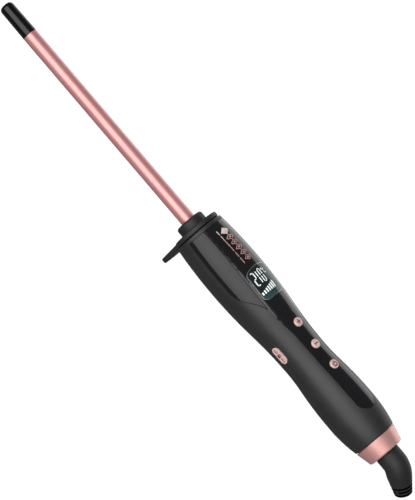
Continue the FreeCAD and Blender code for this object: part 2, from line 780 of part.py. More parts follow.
def make_swivel():
    """The band round the handle's end, the fixed bush and contacts, and the turning rotor with its rings."""
    band_bore = "bush_radius + 0.1"
    lip_front, lip_radius = "band_front + band_lip", "band_front_radius - 1.2"
    band = turned("band_ring", [
        (lip_front, band_bore), (lip_front, lip_radius), ("band_front", lip_radius),
        ("band_front", "band_front_radius"), ("band_back", "band_back_radius"), ("band_back", band_bore)])
    rounded(band, "band_corner", "band_round", rim(value("band_back"), value("band_back_radius")))
    keep(band, "end_band")
    bush_bore, bush_back = "rotor_radius + running_gap", "band_back + 0.1"
    bush = turned("bush_ring", [
        ("bush_front", bush_bore), ("bush_front", "bush_radius"), (bush_back, "bush_radius"),
        (bush_back, bush_bore)])
    keep(bush, "swivel_bush")
    neck = "rotor_radius - rotor_step_height"
    rotor = turned("rotor_tube", [
        ("rotor_front", "cord_radius"), ("rotor_front", neck), ("rotor_step", neck),
        ("rotor_step", "rotor_radius"), ("sleeve_front", "rotor_radius"), ("sleeve_front", "cord_radius")])
    keep(rotor, "swivel_rotor")
    clip_bore, clip_rim = "rotor_radius + 0.02", "rotor_radius + 2"
    clip_front = "circlip_back + circlip_thickness"
    clip = turned("clip_ring", [
        ("circlip_back", clip_bore), ("circlip_back", clip_rim), (clip_front, clip_rim),
        (clip_front, clip_bore)])
    keep(clip, "swivel_circlip")
    ring_bore, ring_rim = "rotor_radius - rotor_step_height + 0.02", "rotor_radius + 0.3"
    rings = []
    brushes = []
    for side, back in ((1, -132), (-1, -136)):
        front = f"{back} + slip_ring_width"
        ring = turned(f"ring_{-back}", [
            (str(back), ring_bore), (str(back), ring_rim), (front, ring_rim), (front, ring_bore)])
        rings.append(ring)
        brushes.append(block(f"brush_{-back}", "1.6", "0.7", "7", Vector(back + 1, side * 5.75, -3.5)))
    keep(group("ring_pair", rings), "slip_rings")
    keep(group("brush_pair", brushes), "contact_brushes")


def sleeve_path():
    """The sleeve's bend: where it starts to turn, where it has turned, and its last direction."""
    turn = math.radians(value("sleeve_turn"))
    start = Vector(value("sleeve_front - sleeve_straight"), 0, 0)
    bent = start + Vector(-math.sin(turn), 0, math.cos(turn) - 1) * value("sleeve_curve")
    return start, bent, Vector(-math.cos(turn), 0, -math.sin(turn))


def bent_bar(radius, start, bent, outward):
    """A round bar of constant radius through the sleeve's root, bend and tail, past both ends."""
    curve, turn, margin = value("sleeve_curve"), value("sleeve_turn"), 2
    disc = Part.Face(Part.Wire(Part.Edge(Part.Circle(start, ALONG, radius))))
    elbow = disc.revolve(start - UP * curve, ACROSS, -turn)
    root = Part.makeCylinder(radius, value("sleeve_straight") + margin, start, ALONG)
    tail = Part.makeCylinder(radius, value("sleeve_tail") + margin, bent, outward)
    return root, elbow, tail


def sleeve_tail(bent, outward):
    """The sleeve's tail: as wide as the bend, then curving into its taper, with a round corner at its end."""
    wide, curve = value("sleeve_radius"), value("sleeve_taper_curve")
    taper, length, corner = math.radians(value("sleeve_taper")), value("sleeve_tail"), value("sleeve_round")
    begin = Vector(0, 0, wide)
    middle = Vector(curve * math.sin(taper / 2), 0, wide - curve * (1 - math.cos(taper / 2)))
    straight = Vector(curve * math.sin(taper), 0, wide - curve * (1 - math.cos(taper)))
    end = straight + Vector(1, 0, -math.tan(taper)) * (length - straight.x)
    edges = [
        Part.Arc(begin, middle, straight).toShape(),
        Part.makeLine(straight, end),
        Part.makeLine(end, Vector(length, 0, 0)),
        Part.makeLine(Vector(length, 0, 0), Vector()),
        Part.makeLine(Vector(), begin),
    ]
    tail = Part.Face(Part.Wire(edges)).revolve(Vector(), ALONG, 360)
    tail = tail.makeFillet(corner, [edge for edge in tail.Edges if rim(length, end.z)(edge)])
    tail.Placement = Placement(bent, Rotation(ALONG, outward))
    return tail


def make_sleeve():
    """The rubber sleeve that guides the cord out: straight, bent towards the rest, and slotted at its end."""
    start, bent, outward = sleeve_path()
    end = bent + outward * value("sleeve_tail")
    elbow = bent_bar(value("sleeve_radius"), start, bent, outward)[1]
    root = Part.makeCylinder(value("sleeve_radius"), value("sleeve_straight"), start, ALONG)
    body = root.fuse([elbow, sleeve_tail(bent, outward)])
    for bore in bent_bar(value("cord_radius"), start, bent, outward):
        body = body.cut(bore)
    upright = outward.cross(ACROSS)
    slot, floor, web_width, spare = value("flex_slot"), value("flex_slot_floor"), 1.8, 0.15
    for i in range(3):
        base = end - outward * (2.1 + value("flex_slot_pitch") * i)
        groove = Part.makeCylinder(9, slot, base, outward).cut(Part.makeCylinder(floor, slot, base, outward))
        web_axis, other = (ACROSS, upright) if i % 2 else (upright, ACROSS)
        web = Part.makeBox(web_width, slot + 2 * spare, 20)
        web.Placement = Placement(base - outward * spare, Rotation(other, outward, web_axis, "ZXY"))
        web.translate(other * (-web_width / 2) - web_axis * 10)
        body = body.cut(groove.cut(web))
    keep(shaped("sleeve_body", body), "strain_relief")


# ---------------------------------------------------------------- assembly


def lying_pose():
    """How the wand lies on a table: pitched onto its rest and sleeve, centred over the origin."""
    pitch = Rotation(ACROSS, -value("lying_angle"))
    pitched = Placement(Vector(), pitch)
    low = Vector(1e9, 1e9, 1e9)
    high = Vector(-1e9, -1e9, -1e9)
    for node in nodes:
        shape = node.Shape.copy()
        shape.Placement = pitched.multiply(shape.Placement)
        box = shape.optimalBoundingBox(True, False)
        low = Vector(min(low.x, box.XMin), min(low.y, box.YMin), min(low.z, box.ZMin))
        high = Vector(max(high.x, box.XMax), max(high.y, box.YMax), max(high.z, box.ZMax))
    centre = (low + high) / 2
    return Placement(Vector(-centre.x, -centre.y, -low.z), pitch)


def check():
    """Stops if anything failed to build or is not a sound solid."""
    for thing in doc.Objects:
        if "Invalid" in thing.State or "Error" in thing.State:
            raise RuntimeError(f"{thing.Label} failed: {thing.State}")
    for node in nodes:
        if node.Shape.isNull() or not node.Shape.isValid() or not node.Shape.Solids:
            raise RuntimeError(f"{node.Label} is not a sound solid")


def main():
    for make in (make_barrel, make_collar, make_housing, make_facings, make_buttons, make_lock,
                 make_electronics, make_leads, make_swivel, make_sleeve):
        make()
        doc.recompute()
    check()
    pose = lying_pose()
    for node in nodes:
        node.Placement = pose.multiply(node.Placement)
    doc.recompute()
    check()
    os.makedirs("parts", exist_ok=True)
    for node in nodes:
        node.Shape.exportStep(os.path.join("parts", node.Label + ".step"))
        print(f"{node.Label}: {len(node.Shape.Solids)} solids, {node.Shape.Volume:.1f} mm3")
    print("pose", pose)


main()
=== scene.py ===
"""Looks of the curling wand: camera, light, a material for every slot, and the printed and lit marks on it.

Lengths are in metres where Blender takes them. Places on the wand are given in millimetres in the wand's own
frame: x along the barrel towards its tip, y towards the lock button, z out of the control panel.
"""

import json
import math

import bmesh
import bpy
from mathutils import Matrix, Vector
from mathutils.bvhtree import BVHTree


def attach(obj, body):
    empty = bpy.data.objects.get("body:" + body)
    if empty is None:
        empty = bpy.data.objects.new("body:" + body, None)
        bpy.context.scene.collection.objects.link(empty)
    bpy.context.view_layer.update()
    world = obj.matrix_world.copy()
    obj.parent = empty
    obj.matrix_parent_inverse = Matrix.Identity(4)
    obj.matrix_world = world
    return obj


MM = 0.001

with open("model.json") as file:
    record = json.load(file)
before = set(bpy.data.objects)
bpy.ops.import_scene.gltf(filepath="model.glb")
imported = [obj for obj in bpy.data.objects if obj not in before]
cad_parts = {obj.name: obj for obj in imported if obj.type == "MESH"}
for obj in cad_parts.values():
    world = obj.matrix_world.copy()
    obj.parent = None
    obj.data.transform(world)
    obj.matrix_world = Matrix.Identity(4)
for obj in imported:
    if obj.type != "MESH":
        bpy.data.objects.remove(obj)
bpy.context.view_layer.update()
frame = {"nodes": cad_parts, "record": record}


# ---------------------------------------------------------------- the wand's own frame

# The barrel mount starts at the collar's front, which lies this far in front of the wand's origin.
COLLAR_FRONT = 8.4

barrel_mount = next(mount for mount in frame["record"]["mounts"] if mount["name"] == "barrel")
AXIS = Vector(barrel_mount["axis"]).normalized()
ACROSS = Vector((0, 1, 0))
OUT = AXIS.cross(ACROSS)
ORIGIN = Vector(barrel_mount["pos_m"]) - AXIS * COLLAR_FRONT * MM


def direction(x, y, z):
    """A direction in the wand's frame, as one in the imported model's frame."""
    return AXIS * x + ACROSS * y + OUT * z


def place(x, y, z):
    """A point in the wand's frame, in millimetres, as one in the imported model's frame, in metres."""
    return ORIGIN + direction(x, y, z) * MM


# ---------------------------------------------------------------- what finishes and pieces are made with

# Noise rarely leaves this span, so colour and roughness change over it.
NOISE_SPAN = (0.3, 0.7)


class Finish:
    """A Principled material with short calls for the procedural detail that drives it."""

    def __init__(self, name, **sockets):
        self.material = bpy.data.materials.new(name)
        self.material.use_nodes = True
        self.tree = self.material.node_tree
        self.shader = self.tree.nodes["Principled BSDF"]
        for socket, value in sockets.items():
            self.shader.inputs[socket.replace("_", " ")].default_value = value

    def node(self, kind, links=(), **settings):
        """A new node with its properties set, and links given as (input, socket or value)."""
        made = self.tree.nodes.new(kind)
        for key, value in settings.items():
            setattr(made, key, value)
        for name, source in links:
            if hasattr(source, "is_linked"):
                self.tree.links.new(source, made.inputs[name])
            else:
                made.inputs[name].default_value = source
        return made

    def drive(self, socket, source):
        """Links source to an input of the shader."""
        self.tree.links.new(source, self.shader.inputs[socket])

    def wand_space(self, stretch=(1, 1, 1)):
        """Millimetres in the wand's own frame, stretched along its axes."""
        where = self.node("ShaderNodeTexCoord").outputs["Object"]
        links = [(0, where), (1, ORIGIN)]
        moved = self.node("ShaderNodeVectorMath", links, operation="SUBTRACT").outputs[0]
        parts = []
        for axis, scale in zip((AXIS, ACROSS, OUT), stretch):
            links = [(0, moved), (1, axis * scale / MM)]
            dot = self.node("ShaderNodeVectorMath", links, operation="DOT_PRODUCT")
            parts.append(dot.outputs["Value"])
        return self.node("ShaderNodeCombineXYZ", list(zip("XYZ", parts))).outputs[0]

    def along(self):
        """Millimetres along the wand, towards its tip."""
        return self.node("ShaderNodeSeparateXYZ", [("Vector", self.wand_space())]).outputs["X"]

    def noise(self, size, detail=3.0, stretch=(1, 1, 1)):
        """Noise whose lumps are about size millimetres across."""
        space = self.wand_space(stretch)
        links = [("Vector", space), ("Scale", 1 / size), ("Detail", detail)]
        return self.node("ShaderNodeTexNoise", links).outputs["Fac"]

    def ranged(self, source, span, first, last):
        """An even change from first to last while source crosses span, and no change outside it."""
        links = [("Value", source), ("From Min", span[0]), ("From Max", span[1]),
                 ("To Min", first), ("To Max", last)]
        return self.node("ShaderNodeMapRange", links).outputs["Result"]

    def colour(self, source, first, last, span=NOISE_SPAN):
        """Base colour from first to last over the span of source."""
        links = [("Factor", self.ranged(source, span, 0, 1)), ("A", (*first, 1)), ("B", (*last, 1))]
        self.drive("Base Color", self.node("ShaderNodeMix", links, data_type="RGBA").outputs["Result"])

    def roughness(self, source, first, last, span=NOISE_SPAN):
        """Roughness from first to last over the span of source."""
        self.drive("Roughness", self.ranged(source, span, first, last))

    def bump(self, source, height):
        """Raises the surface by height millimetres where source is 1."""
        links = [("Height", source), ("Strength", 1.0), ("Distance", height * MM)]
        self.drive("Normal", self.node("ShaderNodeBump", links).outputs["Normal"])


def add_piece(name, shape, material):
    """A new object from a bmesh, which is used up."""
    mesh = bpy.data.meshes.new(name)
    shape.to_mesh(mesh)
    shape.free()
    mesh.materials.append(material)
    piece = bpy.data.objects.new(name, mesh)
    bpy.context.scene.collection.objects.link(piece)
    return piece


# ---------------------------------------------------------------- camera and studio

TOWARDS_CAMERA = (-0.05, 0.682, 0.731)
CAMERA_DISTANCE = 1.405
CAMERA_LENS = 180
CAMERA_SEES_FROM = 0.05
CAMERA_SEES_TO = 50

# As the camera sees it, the wand slopes down to the right by this angle, and the middle of the view lies this
# many millimetres to the right of the wand's origin and below it.
SEEN_SLOPE = math.radians(49.54)
MIDDLE_RIGHT = 5.3
MIDDLE_DOWN = 10.3

AMBIENT_COLOUR = (0.95, 0.97, 1.0, 1)
AMBIENT_STRENGTH = 0.17

# Metres. The floor lies a hair under the wand, so that the two don't share a plane.
SOFTBOX_DISTANCE = 1.1
FLOOR_HALF = 6
FLOOR_HEIGHT = -0.05 * MM
FLOOR_GLOW = 0.9
DOME_RADIUS = 5.5
DOME_GLOW = 1.0


def facing(right, up, back, where):
    """The placing of something at where that looks away from back."""
    return Matrix.Translation(where) @ Matrix((right, up, back)).transposed().to_4x4()


def make_camera():
    """A long lens above the lock button's side, rolled so that the wand runs down from left to right."""
    back = direction(*TOWARDS_CAMERA).normalized()
    seen_axis = (AXIS - back * AXIS.dot(back)).normalized()
    beside = back.cross(seen_axis)
    right = -math.cos(SEEN_SLOPE) * seen_axis - math.sin(SEEN_SLOPE) * beside
    up = math.sin(SEEN_SLOPE) * seen_axis - math.cos(SEEN_SLOPE) * beside
    middle = ORIGIN + (right * MIDDLE_RIGHT - up * MIDDLE_DOWN) * MM
    camera = bpy.data.objects.new("camera", bpy.data.cameras.new("camera"))
    bpy.context.scene.collection.objects.link(camera)
    camera.data.lens = CAMERA_LENS
    camera.data.clip_start = CAMERA_SEES_FROM
    camera.data.clip_end = CAMERA_SEES_TO
    camera.matrix_world = facing(right, up, back, middle + back * CAMERA_DISTANCE)
    bpy.context.scene.camera = camera


def softbox(name, towards, width, height, radiance):
    """A rectangular soft light that faces the wand, with its width along the wand."""
    data = bpy.data.lights.new(name, "AREA")
    data.shape = "RECTANGLE"
    data.size = width
    data.size_y = height
    data.energy = radiance * math.pi * width * height
    light = bpy.data.objects.new(name, data)
    bpy.context.scene.collection.objects.link(light)
    back = Vector(towards).normalized()
    side = (Vector((1, 0, 0)) - back * back.x).normalized()
    light.matrix_world = facing(side, back.cross(side), back, back * SOFTBOX_DISTANCE)
    light.visible_camera = False


def make_lights():
    """Faint cool light all round, a broad key on the camera's side, and a broad low light on the far side."""
    world = bpy.data.worlds.new("studio")
    world.use_nodes = True
    background = world.node_tree.nodes["Background"]
    background.inputs["Color"].default_value = AMBIENT_COLOUR
    background.inputs["Strength"].default_value = AMBIENT_STRENGTH
    bpy.context.scene.world = world
    bpy.context.scene.view_settings.view_transform = "Standard"
    softbox("key", towards=(0.05, 0.80, 0.60), width=1.8, height=1.35, radiance=2.1)
    softbox("rim", towards=(0.0, -0.998, 0.07), width=1.9, height=1.15, radiance=0.98)


def add_stage(name, shape, height, glow):
    """A glowing white piece that only the camera sees: it doesn't light the wand or show in its gloss."""
    white = Finish(name, Base_Color=(0.4, 0.4, 0.4, 1), Roughness=0.9,
                   Emission_Color=(1, 1, 1, 1), Emission_Strength=glow)
    piece = add_piece(name, shape, white.material)
    piece.location.z = height
    piece.visible_diffuse = False
    piece.visible_glossy = False
    piece.visible_shadow = False


def make_stage():
    """A plain pale floor, and a pale dome far around it."""
    floor = bmesh.new()
    bmesh.ops.create_grid(floor, x_segments=8, y_segments=8, size=FLOOR_HALF)
    add_stage("floor", floor, FLOOR_HEIGHT, FLOOR_GLOW)
    dome = bmesh.new()
    bmesh.ops.create_icosphere(dome, subdivisions=3, radius=DOME_RADIUS)
    add_stage("backdrop", dome, 0, DOME_GLOW)


# ---------------------------------------------------------------- materials of the outside

def rose_coating():
    """Ceramic-coated barrel: satin rose gold, with a fine turned grain round it."""
    finish = Finish("rose_coating", Metallic=0.55, Coat_Weight=1.0, Coat_IOR=1.9, Coat_Roughness=0.22)
    grain = finish.noise(0.5, 4, (3, 0.5, 0.5))
    finish.colour(finish.noise(14, 2), (0.80, 0.33, 0.315), (0.84, 0.36, 0.345))
    finish.roughness(grain, 0.42, 0.50)
    finish.bump(grain, 0.001)
    return finish.material


def rose_trim():
    """Rose-gold trim: bright satin metallising over plastic."""
    finish = Finish("rose_trim", Metallic=0.7, Coat_Weight=0.7, Coat_Roughness=0.15)
    grain = finish.noise(0.4, 4, (0.4, 2, 2))
    finish.colour(finish.noise(9, 2), (0.97, 0.50, 0.46), (1.0, 0.54, 0.50))
    finish.roughness(grain, 0.42, 0.50)
    finish.bump(grain, 0.001)
    return finish.material


def rose_button():
    """Rose buttons: pale metallised plastic under a thin clear coat."""
    finish = Finish("rose_button", Metallic=0.15, Coat_Weight=0.2, Coat_Roughness=0.15)
    grain = finish.noise(0.25, 3)
    finish.colour(finish.noise(2.5, 2), (0.94, 0.62, 0.58), (0.98, 0.67, 0.63))
    finish.roughness(grain, 0.40, 0.50)
    finish.bump(grain, 0.001)
    return finish.material


def moulded(name, dark, light, roughness, grain_size, grain_height, **sockets):
    """Moulded plastic: spark-eroded grain, a cloudy tint and patchy roughness."""
    finish = Finish(name, **sockets)
    cloud = finish.noise(18, 3)
    finish.colour(cloud, dark, light)
    finish.roughness(cloud, roughness - 0.05, roughness + 0.05)
    finish.bump(finish.noise(grain_size, 4), grain_height)
    return finish.material


def tip_black():
    """Glossy heat-proof tip."""
    return moulded("tip_black", (0.0008, 0.0008, 0.0008), (0.0012, 0.0012, 0.0012),
                   roughness=0.12, grain_size=0.4, grain_height=0.0006, IOR=1.5)


def collar_black():
    """Dull heat-proof collar."""
    return moulded("collar_black", (0.019, 0.019, 0.020), (0.023, 0.023, 0.024),
                   roughness=0.5, grain_size=0.35, grain_height=0.012, IOR=1.45)


def soft_grip():
    """Soft-touch lacquer of the handle."""
    return moulded("soft_grip", (0.020, 0.020, 0.021), (0.024, 0.024, 0.025),
                   roughness=0.45, grain_size=0.25, grain_height=0.008, IOR=1.54)


def facet_grey():
    """Satin grey of the side facets."""
    return moulded("facet_grey", (0.041, 0.041, 0.042), (0.046, 0.046, 0.047),
                   roughness=0.45, grain_size=0.3, grain_height=0.005, IOR=1.45)


# Painted shade in the slots: it comes from what lies within this many millimetres, and the painted black goes
# over to plain rubber as openness, which is 0 in a closed corner and 1 on an open face, crosses the span.
SLOT_REACH = 2
PAINTED_SHADE_OPENNESS = (0.45, 0.85)


def sleeve_rubber():
    """Soft rubber with painted shade that turns it black in the flex slots."""
    rubber = (0.022, 0.022, 0.023)
    finish = Finish("sleeve_rubber", IOR=1.45)
    openness = finish.node("ShaderNodeAmbientOcclusion", [("Distance", SLOT_REACH * MM)]).outputs["AO"]
    # Painted shade: the rubber's colour goes black where little is open around it, in the slots.
    finish.colour(openness, (0.0, 0.0, 0.0), rubber, PAINTED_SHADE_OPENNESS)
    finish.drive("Specular IOR Level", finish.ranged(openness, PAINTED_SHADE_OPENNESS, 0, 0.5))
    finish.roughness(finish.noise(18, 3), 0.45, 0.55)
    finish.bump(finish.noise(0.3, 4), 0.01)
    return finish.material


def gloss_black():
    """Piano-black panel and strips: clear gloss with very faint hairline scratches."""
    finish = Finish("gloss_black", IOR=1.5, Coat_Weight=0.5, Coat_Roughness=0.1)
    scratches = finish.noise(0.8, 5, (0.06, 1.5, 1.5))
    finish.colour(finish.noise(20, 2), (0.003, 0.003, 0.004), (0.005, 0.005, 0.006))
    finish.roughness(scratches, 0.12, 0.17, (0.45, 0.75))
    finish.bump(scratches, 0.0004)
    return finish.material


def display_rim():
    """Thin bright plated rim."""
    finish = Finish("display_rim", Base_Color=(0.42, 0.44, 0.44, 1), Metallic=0.9)
    grain = finish.noise(0.3, 3)
    finish.roughness(grain, 0.22, 0.34)
    finish.bump(grain, 0.002)
    return finish.material


# Along the wand: the window is dark up to the display cell's end, and lit from below past it.
CELL_END = -50.6
LIGHT_GUIDE_START = -53.2


def display_glass():
    """Smoked window: nearly black over the cell, and teal where the light guide shows at its cord end."""
    finish = Finish("display_glass", IOR=1.5, Coat_Weight=0.5, Coat_Roughness=0.03)
    span = (CELL_END, LIGHT_GUIDE_START)
    finish.colour(finish.along(), (0.010, 0.017, 0.018), (0.030, 0.075, 0.078), span)
    finish.roughness(finish.noise(1.2, 4), 0.05, 0.1, (0.4, 0.7))
    return finish.material


# ---------------------------------------------------------------- materials of the inside

def inner_plastic():
    """Plain plastic of the plungers, the backlight and the swivel."""
    return moulded("inner_plastic", (0.07, 0.07, 0.07), (0.085, 0.085, 0.085),
                   roughness=0.5, grain_size=0.5, grain_height=0.01)


def insulator():
    """Ceramic and heat-proof moulding."""
    return moulded("insulator", (0.80, 0.78, 0.72), (0.88, 0.86, 0.81),
                   roughness=0.75, grain_size=0.4, grain_height=0.02)


def plain_metal(name, first, last, roughness, stretch=(0.3, 2, 2)):
    """Bare metal with a drawn grain."""
    finish = Finish(name, Metallic=1.0)
    grain = finish.noise(0.5, 4, stretch)
    finish.colour(grain, first, last)
    finish.roughness(grain, roughness - 0.07, roughness + 0.07)
    finish.bump(grain, 0.003)
    return finish.material


def spreader_metal():
    """Aluminium half-rounds beside the heater."""
    return plain_metal("spreader_metal", (0.72, 0.72, 0.73), (0.78, 0.78, 0.79), 0.4)


def contact_metal():
    """Brass of the slip rings and brushes."""
    return plain_metal("contact_metal", (0.75, 0.56, 0.27), (0.80, 0.62, 0.32), 0.3)


def steel():
    """Screws and the circlip."""
    return plain_metal("steel", (0.56, 0.56, 0.57), (0.63, 0.63, 0.63), 0.32, (1, 1, 1))


def board_green():
    """Solder mask on the circuit boards."""
    return moulded("board_green", (0.02, 0.16, 0.06), (0.04, 0.22, 0.09),
                   roughness=0.4, grain_size=0.6, grain_height=0.006, Coat_Weight=0.3)


def chip_black():
    """Moulding compound of the chips, the switches and the buzzer."""
    return moulded("chip_black", (0.015, 0.015, 0.015), (0.025, 0.025, 0.025),
                   roughness=0.6, grain_size=0.2, grain_height=0.01)


def film_red():
    """Dipped film capacitor."""
    return moulded("film_red", (0.50, 0.17, 0.06), (0.60, 0.23, 0.09),
                   roughness=0.3, grain_size=0.8, grain_height=0.01, Coat_Weight=0.4)


def can_blue():
    """Sleeve of the smoothing capacitor."""
    return moulded("can_blue", (0.04, 0.07, 0.22), (0.06, 0.10, 0.28),
                   roughness=0.35, grain_size=0.8, grain_height=0.005, Coat_Weight=0.3)


def lead_insulation():
    """Silicone round the leads."""
    return moulded("lead_insulation", (0.55, 0.08, 0.06), (0.65, 0.12, 0.10),
                   roughness=0.55, grain_size=0.3, grain_height=0.01)


def display_cell():
    """Glass cell behind the window."""
    return moulded("display_cell", (0.35, 0.45, 0.40), (0.42, 0.52, 0.47),
                   roughness=0.15, grain_size=1.5, grain_height=0.001, Coat_Weight=0.5)


SLOT_MATERIALS = [
    rose_coating, rose_trim, rose_button, tip_black, collar_black, soft_grip, facet_grey, gloss_black,
    display_rim, display_glass, sleeve_rubber, inner_plastic, insulator, spreader_metal, contact_metal,
    steel, board_green, chip_black, film_red, can_blue, lead_insulation, display_cell,
]


def dress_nodes():
    """Gives every slot of every CAD node its finish, which is the function of the same name."""
    finishes = {make.__name__: make() for make in SLOT_MATERIALS}
    for node in frame["nodes"].values():
        for slot in node.material_slots:
            slot.material = finishes[slot.material.name.split(".")[0]]


# ---------------------------------------------------------------- materials of the marks

def lit_segment():
    """White lit segments, a little uneven."""
    finish = Finish("lit_segment", Roughness=0.4,
                    Emission_Color=(0.88, 0.97, 0.95, 1), Emission_Strength=0.55)
    finish.colour(finish.noise(1.5, 2), (0.72, 0.78, 0.77), (0.80, 0.84, 0.83))
    return finish.material


# Along the wand: the print's head is pale, its chain and line are darker, and the tint changes over this span.
PRINT_SPAN = (-15, -9)


def rose_print():
    """Hot-foil rose print on the gloss panel, paler towards the collar."""
    finish = Finish("rose_print", Roughness=0.35)
    finish.colour(finish.along(), (0.66, 0.38, 0.32), (1.0, 0.86, 0.78), PRINT_SPAN)
    finish.bump(finish.noise(0.2, 3), 0.002)
    return finish.material


def symbol_print():
    """Dark rose ink of the button symbols."""
    finish = Finish("symbol_print", Roughness=0.7, IOR=1.3)
    finish.colour(finish.noise(0.8, 2), (0.13, 0.02, 0.02), (0.19, 0.035, 0.035))
    return finish.material


# ---------------------------------------------------------------- marks on the surfaces

# Millimetres: how far an inlay stands out of its surface and reaches into it, the longest step along it, the
# width of a pointed end, and how far off the surface a point starts its drop.
LIFT = 0.03
SINK = 0.05
STEP = 0.35
POINT_WIDTH = 0.06
DROP_HEIGHT = 30
RING_SIDES = 28


def stepped(path, widths):
    """A flat path as points (u, v, width), no further than a step apart."""
    points = []
    for (a, b), (wide_a, wide_b) in zip(zip(path, path[1:]), zip(widths, widths[1:])):
        count = max(1, math.ceil(math.dist(a, b) / STEP))
        points += [(a[0] + (b[0] - a[0]) * k / count, a[1] + (b[1] - a[1]) * k / count,
                    wide_a + (wide_b - wide_a) * k / count) for k in range(count)]
    points.append((*path[-1], widths[-1]))
    return points


class Mark:
    """Thin closed inlays laid on one CAD node, onto whose surface flat points (u, v) in millimetres drop."""

    def __init__(self, name, node, flat, drop):
        self.name = name
        self.flat = flat
        self.drop = drop
        self.shape = bmesh.new()
        source = bmesh.new()
        source.from_mesh(frame["nodes"][node].data)
        self.tree = BVHTree.FromBMesh(source)
        source.free()

    def layers(self, u, v):
        """The upper and lower vertex of the inlay at (u, v)."""
        start = self.flat(u, v) - self.drop * DROP_HEIGHT * MM
        found = self.tree.ray_cast(start, self.drop)[0]
        if found is None:
            raise ValueError(f"{self.name}: nothing lies under ({u:.2f}, {v:.2f})")
        upper = self.shape.verts.new(found - self.drop * LIFT * MM)
        lower = self.shape.verts.new(found + self.drop * SINK * MM)
        return upper, lower

    def ribbon(self, path, widths, lanes=2):
        """A closed inlay along a flat path, with one width for it all or one for each of its points."""
        if not isinstance(widths, list):
            widths = [widths] * len(path)
        points = stepped(path, widths)
        rows = []
        for i, (u, v, width) in enumerate(points):
            before, after = points[max(i - 1, 0)], points[min(i + 1, len(points) - 1)]
            du, dv = after[0] - before[0], after[1] - before[1]
            length = math.hypot(du, dv)
            rows.append([self.layers(u - dv / length * width * (k / lanes - 0.5),
                                     v + du / length * width * (k / lanes - 0.5)) for k in range(lanes + 1)])
        self.close(rows)

    def close(self, rows):
        """Faces for a grid of (upper, lower) vertices: both sides, and a wall round the edge."""
        new = self.shape.faces.new
        for first, second in zip(rows, rows[1:]):
            for k in range(len(first) - 1):
                new([first[k][0], first[k + 1][0], second[k + 1][0], second[k][0]])
                new([first[k][1], second[k][1], second[k + 1][1], first[k + 1][1]])
            for k in (0, -1):
                new([first[k][0], second[k][0], second[k][1], first[k][1]])
        for row in (rows[0], rows[-1]):
            for left, right in zip(row, row[1:]):
                new([left[0], left[1], right[1], right[0]])

    def ring(self, middle, inner, outer):
        """A flat ring."""
        rows = []
        for i in range(RING_SIDES):
            angle = 2 * math.pi * i / RING_SIDES
            u, v = math.cos(angle), math.sin(angle)
            rows.append([self.layers(middle[0] + radius * u, middle[1] + radius * v)
                         for radius in (inner, outer)])
        new = self.shape.faces.new
        for first, second in zip(rows, rows[1:] + rows[:1]):
            new([first[0][0], first[1][0], second[1][0], second[0][0]])
            new([first[0][1], second[0][1], second[1][1], first[1][1]])
            for k in (0, 1):
                new([first[k][0], second[k][0], second[k][1], first[k][1]])

    def attach(self, body, material):
        """Makes the inlays one piece that rides on its body."""
        bmesh.ops.recalc_face_normals(self.shape, faces=self.shape.faces)
        piece = add_piece(self.name, self.shape, material)
        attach(piece, body)


def arc(middle, radius, start, end, count=24):
    """Flat points of an arc, with its angles in degrees."""
    angles = [math.radians(start + (end - start) * k / count) for k in range(count + 1)]
    return [(middle[0] + radius * math.cos(a), middle[1] + radius * math.sin(a)) for a in angles]


def on_panel(u, v):
    """u runs across the wand, from the lock button's side, and v towards the tip."""
    return place(v, -u, 0)


def on_lock_side(u, v):
    """u runs towards the cord and v towards the panel."""
    return place(-u, 0, v)


# ---------------------------------------------------------------- the lit display

# Ends of each segment, as shares of a figure's width and height.
SEGMENTS = {
    "a": ((0, 1), (1, 1)), "b": ((1, 1), (1, 0.5)), "c": ((1, 0.5), (1, 0)), "d": ((0, 0), (1, 0)),
    "e": ((0, 0.5), (0, 0)), "f": ((0, 1), (0, 0.5)), "g": ((0, 0.5), (1, 0.5)),
}
FIGURES = {"0": "abcdef", "1": "bc", "2": "abged", "C": "adef"}

# Lefts are across the wand from its middle line, feet are along it towards the tip.
DIGIT_WIDTH = 1.8
DIGIT_HEIGHT = 8.0
DIGIT_STROKE = 0.6
DIGIT_FOOT = -45.9
DIGIT_LEFTS = {"2": -6.25, "1": -4.45, "0": -0.85}
SEGMENT_GAP = 0.3

UNIT_LEFT = 3.2
UNIT_FOOT = -42.0
UNIT_WIDTH = 1.3
UNIT_HEIGHT = 2.7
UNIT_STROKE = 0.42
DEGREE_AT = (2.5, -39.0)
DEGREE_INNER = 0.25
DEGREE_OUTER = 0.5

BAR_COUNT = 7
BAR_FOOT = -51.7
BAR_PITCH = 1.68
BAR_FIRST = -6.9
BAR_WIDTH = 0.9
BAR_SHORT = 1.7
BAR_TALL = 4.2


def figure(mark, sign, left, foot, width, height, stroke):
    """One seven-segment figure, whose strokes end in points."""
    gap = stroke * SEGMENT_GAP
    for key in FIGURES[sign]:
        (u0, v0), (u1, v1) = SEGMENTS[key]
        start = Vector((left + u0 * width, foot + v0 * height))
        end = Vector((left + u1 * width, foot + v1 * height))
        along = (end - start).normalized()
        start, end = start + along * gap, end - along * gap
        path = [start, start + along * stroke / 2, end - along * stroke / 2, end]
        mark.ribbon([tuple(point) for point in path], [POINT_WIDTH, stroke, stroke, POINT_WIDTH])


def lit_display(material):
    """Temperature, unit and a rising row of bars, as the display lights them."""
    mark = Mark("display_segments", "display_lens", on_panel, -OUT)
    for sign, left in DIGIT_LEFTS.items():
        figure(mark, sign, left, DIGIT_FOOT, DIGIT_WIDTH, DIGIT_HEIGHT, DIGIT_STROKE)
    figure(mark, "C", UNIT_LEFT, UNIT_FOOT, UNIT_WIDTH, UNIT_HEIGHT, UNIT_STROKE)
    mark.ring(DEGREE_AT, DEGREE_INNER, DEGREE_OUTER)
    for i in range(BAR_COUNT):
        u = BAR_FIRST + i * BAR_PITCH
        top = BAR_SHORT + (BAR_TALL - BAR_SHORT) * i / (BAR_COUNT - 1)
        mark.ribbon([(u, BAR_FOOT), (u, BAR_FOOT + top)], BAR_WIDTH)
    mark.attach("handle", material)


